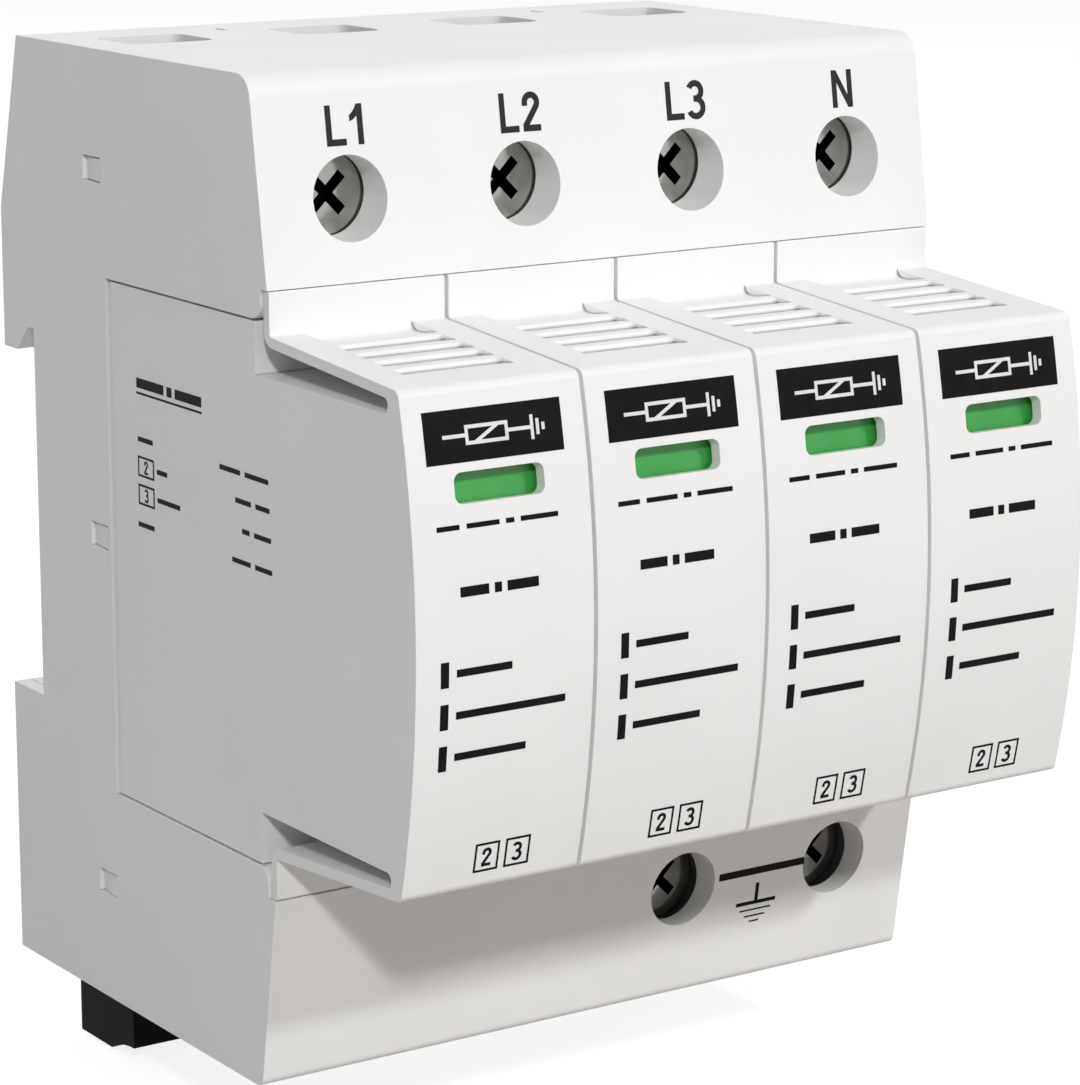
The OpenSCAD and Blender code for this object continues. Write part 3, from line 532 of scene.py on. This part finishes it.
def on_module_front(pole):
    """The arched front of one module as a surface for print."""
    middle = pole_x(pole)
    crown_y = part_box(f"module_case_{pole}")[0].y
    centre_y = crown_y + FRONT_R

    def surface(x, z, height):
        reach = math.sqrt((FRONT_R + height) ** 2 - z * z)
        return Vector((middle + x, centre_y - reach, z))
    return surface


PLATE = ((-6.88, 15.35), (6.6, 19.65))
PLATE_ROWS = 8
# A row of words is its place up the front, its bars' height, and where each bar starts and ends.
NOTE_ROW = (10.2, 0.42, [(-6.4, -4.2), (-3.5, -0.3), (0.35, 1.15), (1.8, 5.5)])
NUMBER_ROW = (4.85, 0.85, [(-4.4, -1.6), (-1.05, -0.35), (0.2, 3.3)])
LIST_ROWS = [(-1.9, 0.6), (-5.5, 6.0), (-9.1, 2.2)]
LIST_LEFT = -6.4
LIST_HEAD = (0.8, 2.2)
LIST_LINE = 0.65
LIST_GAP = 0.75
CLASS_BOXES = [("2", -1.95, 0.5), ("3", 1.1, 3.6)]
CLASS_BOX_Z = (-20.05, -17.4)
CLASS_LINE = 0.2
CLASS_CAP = 1.7


def add_words(bm, middle_z, height, words):
    """Adds a line of small print as one plain bar for each word."""
    for start, end in words:
        add_bar(bm, (start, middle_z - height / 2), (end, middle_z + height / 2))


def add_class_box(bm, number, low, high, cap):
    """Adds a square outline with a plain class number in it."""
    add_frame(bm, low, high, CLASS_LINE)
    add_signs(bm, number, ((low[0] + high[0]) / 2, (low[1] + high[1]) / 2), cap)


# A soft black with a warm cast, matt on the satin case.
black_ink = print_ink("black_pad_print", "#141112", "#1A1718")
for pole in POLES:
    bm = bmesh.new()
    add_bar(bm, *PLATE, rows=PLATE_ROWS)
    add_words(bm, *NOTE_ROW)
    add_words(bm, *NUMBER_ROW)
    for middle_z, end in LIST_ROWS:
        add_words(bm, middle_z, LIST_HEAD[1], [(LIST_LEFT, LIST_LEFT + LIST_HEAD[0])])
        add_words(bm, middle_z, LIST_LINE, [(LIST_LEFT + LIST_HEAD[0] + LIST_GAP, end)])
    for number, left, right in CLASS_BOXES:
        add_class_box(bm, number, (left, CLASS_BOX_Z[0]), (right, CLASS_BOX_Z[1]), CLASS_CAP)
    lay_print(f"module_print_{pole}", bm, on_module_front(pole), black_ink, f"module_{pole}")

VARISTOR_SIGN_SHIFT = -0.7
VARISTOR_SIGN_X = (PLATE[0][0] + PLATE[1][0]) / 2 + VARISTOR_SIGN_SHIFT
VARISTOR_SIGN_Z = (PLATE[0][1] + PLATE[1][1]) / 2
VARISTOR_BOX = (2.1, 0.8)
VARISTOR_LINE = 0.3
VARISTOR_SLASH = 0.9
VARISTOR_LEAD = 2.2
EARTH_BARS = [(2.0, 0.0), (1.3, 0.55), (0.6, 1.1)]

# A covering white, laid over the dark field as a second film.
white_ink = print_ink("white_pad_print", "#E4E4E3", "#EAEAE9")
for pole in POLES:
    bm = bmesh.new()
    x, z = VARISTOR_SIGN_X, VARISTOR_SIGN_Z
    half_w, half_h = VARISTOR_BOX
    half_line = VARISTOR_LINE / 2
    add_frame(bm, (x - half_w, z - half_h), (x + half_w, z + half_h), VARISTOR_LINE)
    slash = [
        (x + end * VARISTOR_SLASH + side * VARISTOR_LINE, z + end * (half_h - VARISTOR_LINE))
        for end, side in ((-1, -1), (-1, 1), (1, 1), (1, -1))]
    add_field(bm, slash)
    add_bar(bm, (x - half_w - VARISTOR_LEAD, z - half_line), (x - half_w, z + half_line))
    add_bar(bm, (x + half_w, z - half_line), (x + half_w + VARISTOR_LEAD, z + half_line))
    for height, step in EARTH_BARS:
        left = x + half_w + VARISTOR_LEAD + step
        add_bar(bm, (left, z - height / 2), (left + VARISTOR_LINE, z + height / 2))
    lay_print(f"varistor_sign_{pole}", bm, on_module_front(pole), white_ink, f"module_{pole}", INK_RISE)


# Side print of the first module: its ratings as two columns of plain bars and two class boxes,
# pad printed on the flat outer side.

SIDE_TITLE = (15.55, 0.9, [(19.95, 25.0), (25.6, 26.5), (27.1, 31.9)])
SIDE_RULE = (14.62, 0.2, [(19.9, 31.95)])
SIDE_ROWS = [
    (10.4, [(20.0, 22.8), (35.0, 38.6), (39.4, 43.45)]),
    (7.9, [(23.5, 25.4), (37.7, 40.4), (41.2, 43.6)]),
    (5.3, [(23.5, 27.7), (38.8, 40.1), (40.9, 43.8)]),
    (2.5, [(19.8, 22.8), (37.0, 40.2), (41.0, 43.9)]),
]
SIDE_BAR_H = 0.45
SIDE_BOXES = [("2", (19.95, 6.95), (22.95, 8.85)), ("3", (19.95, 4.35), (22.95, 6.25))]
SIDE_CAP = 1.25
side_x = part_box("module_case_1")[0].x


def on_first_side(d, z, height):
    """Point on the outer side of the first module."""
    return Vector((side_x - height, -d, z))


bm = bmesh.new()
add_words(bm, *SIDE_TITLE)
add_words(bm, *SIDE_RULE)
for middle_z, words in SIDE_ROWS:
    add_words(bm, middle_z, SIDE_BAR_H, words)
for number, low, high in SIDE_BOXES:
    add_class_box(bm, number, low, high, SIDE_CAP)
lay_print("rating_print", bm, on_first_side, black_ink, "module_1")


# Studio: a pale floor just under the clips, two small softboxes in front, broad fills all round that are a
# little cooler on the left, and a dim sky that is brightest at the horizon.

FLOOR_DROP = 0.5 * MM
FLOOR_SIZE = 40.0
floor_mesh = bpy.data.meshes.new("floor")
bm = bmesh.new()
bmesh.ops.create_grid(
    bm, x_segments=1, y_segments=1, size=FLOOR_SIZE / 2,
    matrix=Matrix.Translation((0, 0, cad_low.z - FLOOR_DROP)))
bm.to_mesh(floor_mesh)
bm.free()
floor = bpy.data.objects.new("floor", floor_mesh)
bpy.context.scene.collection.objects.link(floor)


def seen_ray(tree):
    """1 for rays that show the background: from the camera, a mirror or a clear piece."""
    path = add_node(tree, "ShaderNodeLightPath")
    first = add_node(tree, "ShaderNodeMath", {
        0: path.outputs["Is Camera Ray"], 1: path.outputs["Is Glossy Ray"]}, operation="MAXIMUM")
    both = add_node(tree, "ShaderNodeMath", {
        0: first.outputs[0], 1: path.outputs["Is Transmission Ray"]}, operation="MAXIMUM")
    return both.outputs[0]


PAPER_BOUNCE = "#AFA7A0"
PAPER_TONE = "#989898"
PAPER_GLOW = 0.86


def floor_paper():
    """White background paper. It shows white with a faint shadow, and throws back a warm grey."""
    material = bpy.data.materials.new("background_paper")
    material.use_nodes = True
    tree = material.node_tree
    tree.nodes.clear()
    bounce = add_node(tree, "ShaderNodeBsdfDiffuse", {"Color": linear(PAPER_BOUNCE)})
    pale = add_node(tree, "ShaderNodeBsdfDiffuse", {"Color": linear(PAPER_TONE)})
    glow = add_node(tree, "ShaderNodeEmission", {"Color": linear("#FFFFFF"), "Strength": PAPER_GLOW})
    shown = add_node(tree, "ShaderNodeAddShader", {0: pale.outputs[0], 1: glow.outputs[0]})
    mix = add_node(tree, "ShaderNodeMixShader", {
        0: seen_ray(tree), 1: bounce.outputs[0], 2: shown.outputs[0]})
    add_node(tree, "ShaderNodeOutputMaterial", {"Surface": mix.outputs[0]})
    return material


floor_mesh.materials.append(floor_paper())

SKY_HORIZON = "#7C7D7F"
SKY_TOP = "#000000"
world = bpy.data.worlds.new("studio")
world.use_nodes = True
bpy.context.scene.world = world
sky_tree = world.node_tree
sky_tree.nodes.clear()
sky_place = add_node(sky_tree, "ShaderNodeTexCoord").outputs["Generated"]
sky_axes = add_node(sky_tree, "ShaderNodeSeparateXYZ", {"Vector": sky_place})
sky_ramp = add_node(sky_tree, "ShaderNodeValToRGB", {"Fac": sky_axes.outputs["Z"]})
sky_ramp.color_ramp.elements[0].color = linear(SKY_HORIZON)
sky_ramp.color_ramp.elements[1].color = linear(SKY_TOP)
sky_light = add_node(sky_tree, "ShaderNodeBackground", {"Color": sky_ramp.outputs["Color"]})
sky_white = add_node(sky_tree, "ShaderNodeBackground", {"Color": linear("#FFFFFF")})
sky_mix = add_node(sky_tree, "ShaderNodeMixShader", {
    0: seen_ray(sky_tree), 1: sky_light.outputs[0], 2: sky_white.outputs[0]})
add_node(sky_tree, "ShaderNodeOutputWorld", {"Surface": sky_mix.outputs[0]})

# A lamp is its name, the way to it from the object's middle, its size in metres, its watts and its tint.
LAMP_DISTANCE = 1.2
LAMPS = [
    ("left_softbox", (-0.453, -0.735, 0.507), (0.08, 0.08), 5.6, "#FFFFFF"),
    ("right_softbox", (0.39, -0.71, 0.545), (0.06, 0.06), 5.0, "#FFFFFF"),
    ("front_fill", (0.15, -1.0, 0.1), (1.4, 1.4), 3.2, "#FFFFFF"),
    ("left_fill", (-1.0, -0.1, 0.3), (1.0, 1.0), 0.9, "#A8D2FF"),
    ("right_fill", (1.0, 0.1, 0.4), (1.0, 1.0), 2.6, "#FFFFFF"),
    ("top_fill", (0.0, 0.35, 1.0), (0.8, 0.8), 2.9, "#FFFFFF"),
    ("back_fill", (-0.15, 1.0, 0.5), (0.6, 0.6), 3.6, "#FFFFFF"),
]
middle = (cad_low + cad_high) / 2
for name, towards, size, watts, tint in LAMPS:
    lamp = bpy.data.lights.new(name, "AREA")
    lamp.shape = "RECTANGLE"
    lamp.size, lamp.size_y = size
    lamp.energy = watts
    lamp.color = linear(tint)[:3]
    holder = bpy.data.objects.new(name, lamp)
    holder.location = middle + Vector(towards).normalized() * LAMP_DISTANCE
    holder.rotation_euler = Vector(towards).to_track_quat("Z", "Y").to_euler()
    bpy.context.scene.collection.objects.link(holder)


# Camera: a long lens at the photograph's viewing angle, to the front left and a little above the object.
# Its place is given from the middle of the rail seat.

CAMERA_PLACE = Vector((-196.1, -322.2, 77.8)) * MM
CAMERA_HEADING = math.radians(-34.044)
CAMERA_TILT = math.radians(90 - 12.753)
CAMERA_ROLL = math.radians(0.1017)
CAMERA_LENS = 127.26
CAMERA_SENSOR = 36
camera = bpy.data.cameras.new("camera")
camera.sensor_width = CAMERA_SENSOR
camera.lens = CAMERA_LENS
camera_holder = bpy.data.objects.new("camera", camera)
camera_holder.matrix_world = (
    Matrix.Translation(CAMERA_PLACE)
    @ Matrix.Rotation(CAMERA_HEADING, 4, "Z")
    @ Matrix.Rotation(CAMERA_TILT, 4, "X")
    @ Matrix.Rotation(CAMERA_ROLL, 4, "Z"))
bpy.context.scene.collection.objects.link(camera_holder)
bpy.context.scene.camera = camera_holder
bpy.context.scene.view_settings.view_transform = "Standard"
